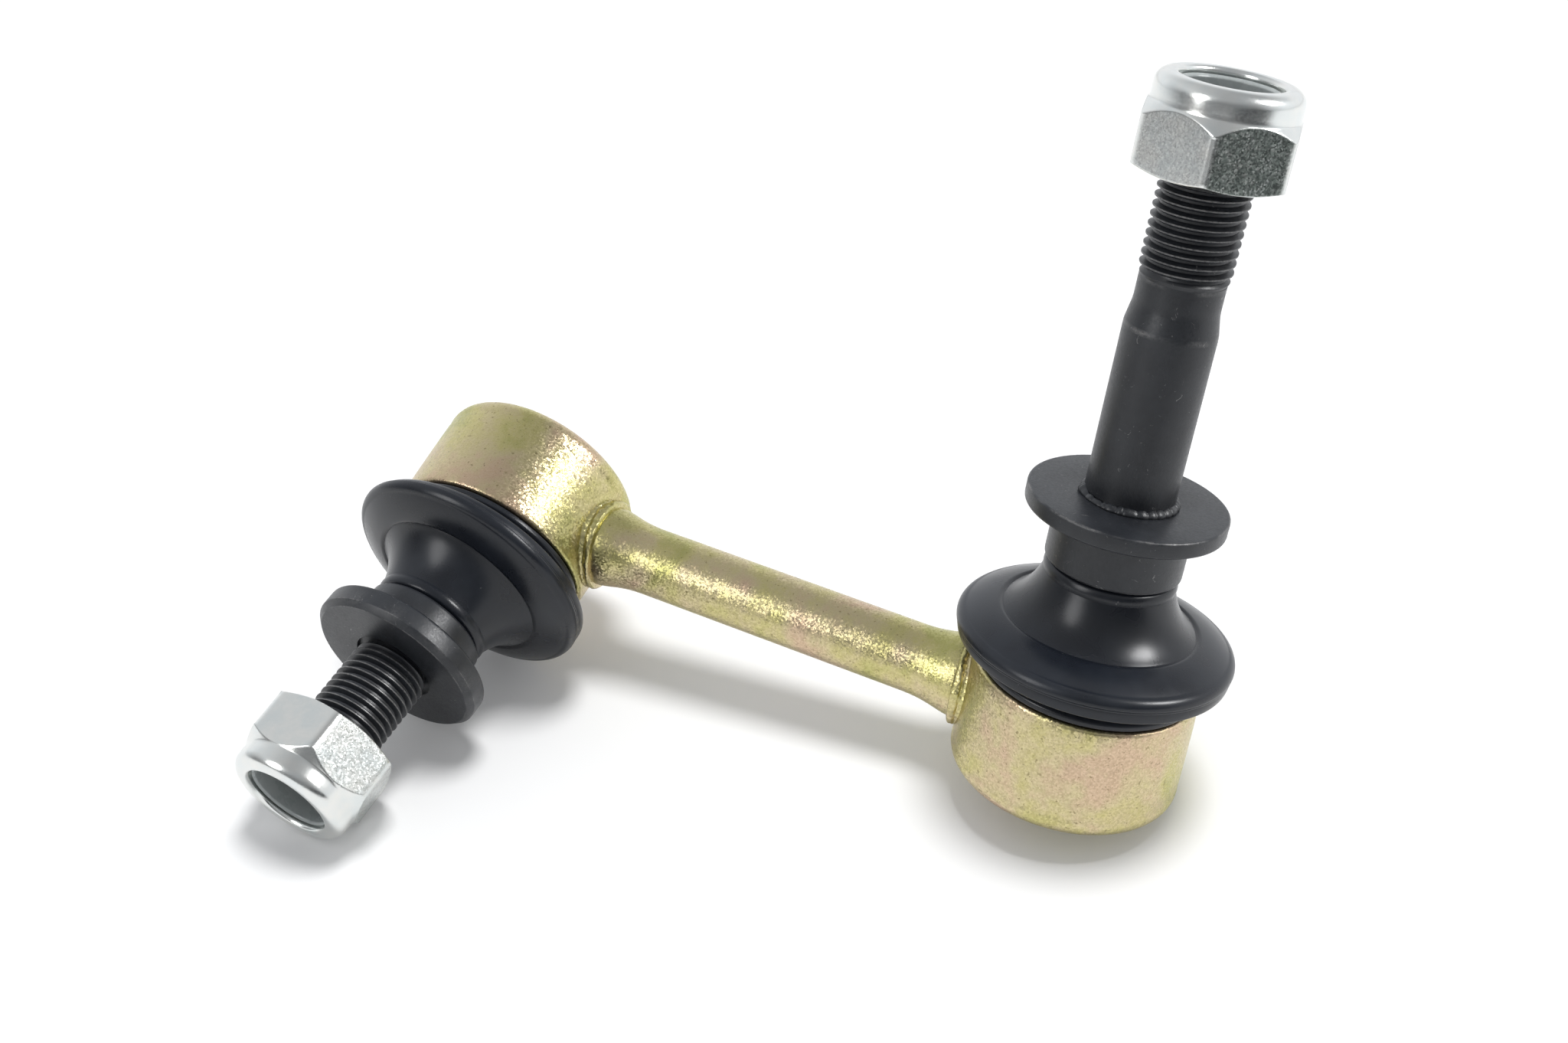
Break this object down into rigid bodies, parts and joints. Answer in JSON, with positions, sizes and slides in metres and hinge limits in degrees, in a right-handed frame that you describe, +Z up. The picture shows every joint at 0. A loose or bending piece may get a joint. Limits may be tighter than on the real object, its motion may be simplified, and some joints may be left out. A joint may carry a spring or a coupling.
{
  "type": "stabilizer link",
  "caption": "Short welded stabilizer link: a round rod joins two cup-shaped ball-joint housings whose booted, flanged studs point apart and carry lock nuts.",
  "frame": {"origin": "middle of the bounding box on the table that the part lies on", "axes": "+Z up from the table, +X along the lying rod towards the end with the long upright stud, +Y away from the left stud's nut"},
  "size_m": [0.1342, 0.0892, 0.1031],
  "materials": {
    "yellow_zinc": "yellow zinc plating, satin with a faint colour mottle",
    "black_steel": "black phosphate, satin",
    "rubber": "moulded, semi-matt",
    "bright_zinc": "bright zinc plating",
    "acetal": "natural",
    "nylon": "smooth"
  },
  "bodies": {
    "link": {"rod": "yellow_zinc", "left_rod_weld": "yellow_zinc", "right_rod_weld": "yellow_zinc", "left_housing": "yellow_zinc", "right_housing": "yellow_zinc", "left_end_cap": "yellow_zinc", "right_end_cap": "yellow_zinc", "left_boot_clip": "black_steel", "right_boot_clip": "black_steel"},
    "left_swivel": {"left_ball_seat": "acetal", "left_boot": "rubber"},
    "left_tilt": {"left_neck_ring": "black_steel"},
    "left_stud": {"left_ball_stud": "black_steel"},
    "left_nut_travel": {"left_nut_insert": "nylon"},
    "left_nut_turn": {"left_nut": "bright_zinc"},
    "right_swivel": {"right_ball_seat": "acetal", "right_boot": "rubber"},
    "right_tilt": {"right_neck_ring": "black_steel"},
    "right_stud": {"right_ball_stud": "black_steel", "right_collar": "black_steel", "right_collar_weld": "black_steel"},
    "right_nut_travel": {"right_nut_insert": "nylon"},
    "right_nut_turn": {"right_nut": "bright_zinc"}
  },
  "joints": [
    {"name": "left_ball_swivel", "type": "hinge", "parent": "link", "child": "left_swivel", "pos_m": [-0.04712, 0.01396, 0.0224], "axis": [-0.0316, -0.9582, -0.2843], "continuous": true},
    {"name": "left_ball_tilt", "type": "hinge", "parent": "left_swivel", "child": "left_tilt", "pos_m": [-0.04712, 0.01396, 0.0224], "axis": [-0.8484, 0.1761, -0.4992], "range_deg": [-28.5, 21.5], "deforming": ["left_boot"]},
    {"name": "left_stud_spin", "type": "hinge", "parent": "left_tilt", "child": "left_stud", "pos_m": [-0.04712, 0.01396, 0.0224], "axis": [-0.0638, -0.9702, -0.2338], "continuous": true},
    {"name": "left_nut_slide", "type": "slide", "parent": "left_stud", "child": "left_nut_travel", "axis": [-0.0638, -0.9702, -0.2338], "range_m": [-0.0125, 0.00625]},
    {"name": "left_nut_spin", "type": "hinge", "parent": "left_nut_travel", "child": "left_nut_turn", "pos_m": [-0.04712, 0.01396, 0.0224], "axis": [-0.0638, -0.9702, -0.2338], "range_deg": [-3601, 1801]},
    {"name": "right_ball_swivel", "type": "hinge", "parent": "link", "child": "right_swivel", "pos_m": [0.04625, 0.0151, 0.01329], "axis": [0.1088, 0.1802, 0.9776], "continuous": true},
    {"name": "right_ball_tilt", "type": "hinge", "parent": "right_swivel", "child": "right_tilt", "pos_m": [0.04625, 0.0151, 0.01329], "axis": [-0.8765, -0.4466, 0.1798], "range_deg": [-27.7, 22.3], "deforming": ["right_boot"]},
    {"name": "right_stud_spin", "type": "hinge", "parent": "right_tilt", "child": "right_stud", "pos_m": [0.04625, 0.0151, 0.01329], "axis": [0.0866, 0.2213, 0.9714], "continuous": true},
    {"name": "right_nut_slide", "type": "slide", "parent": "right_stud", "child": "right_nut_travel", "axis": [0.0866, 0.2213, 0.9714], "range_m": [-0.01125, 0.00625]},
    {"name": "right_nut_spin", "type": "hinge", "parent": "right_nut_travel", "child": "right_nut_turn", "pos_m": [0.04625, 0.0151, 0.01329], "axis": [0.0866, 0.2213, 0.9714], "range_deg": [-3241, 1801]}
  ],
  "couplings": [
    {"joint": "left_nut_spin", "follows": "left_nut_slide", "rad_per_m": 5026.5},
    {"joint": "right_nut_spin", "follows": "right_nut_slide", "rad_per_m": 5026.5}
  ]
}
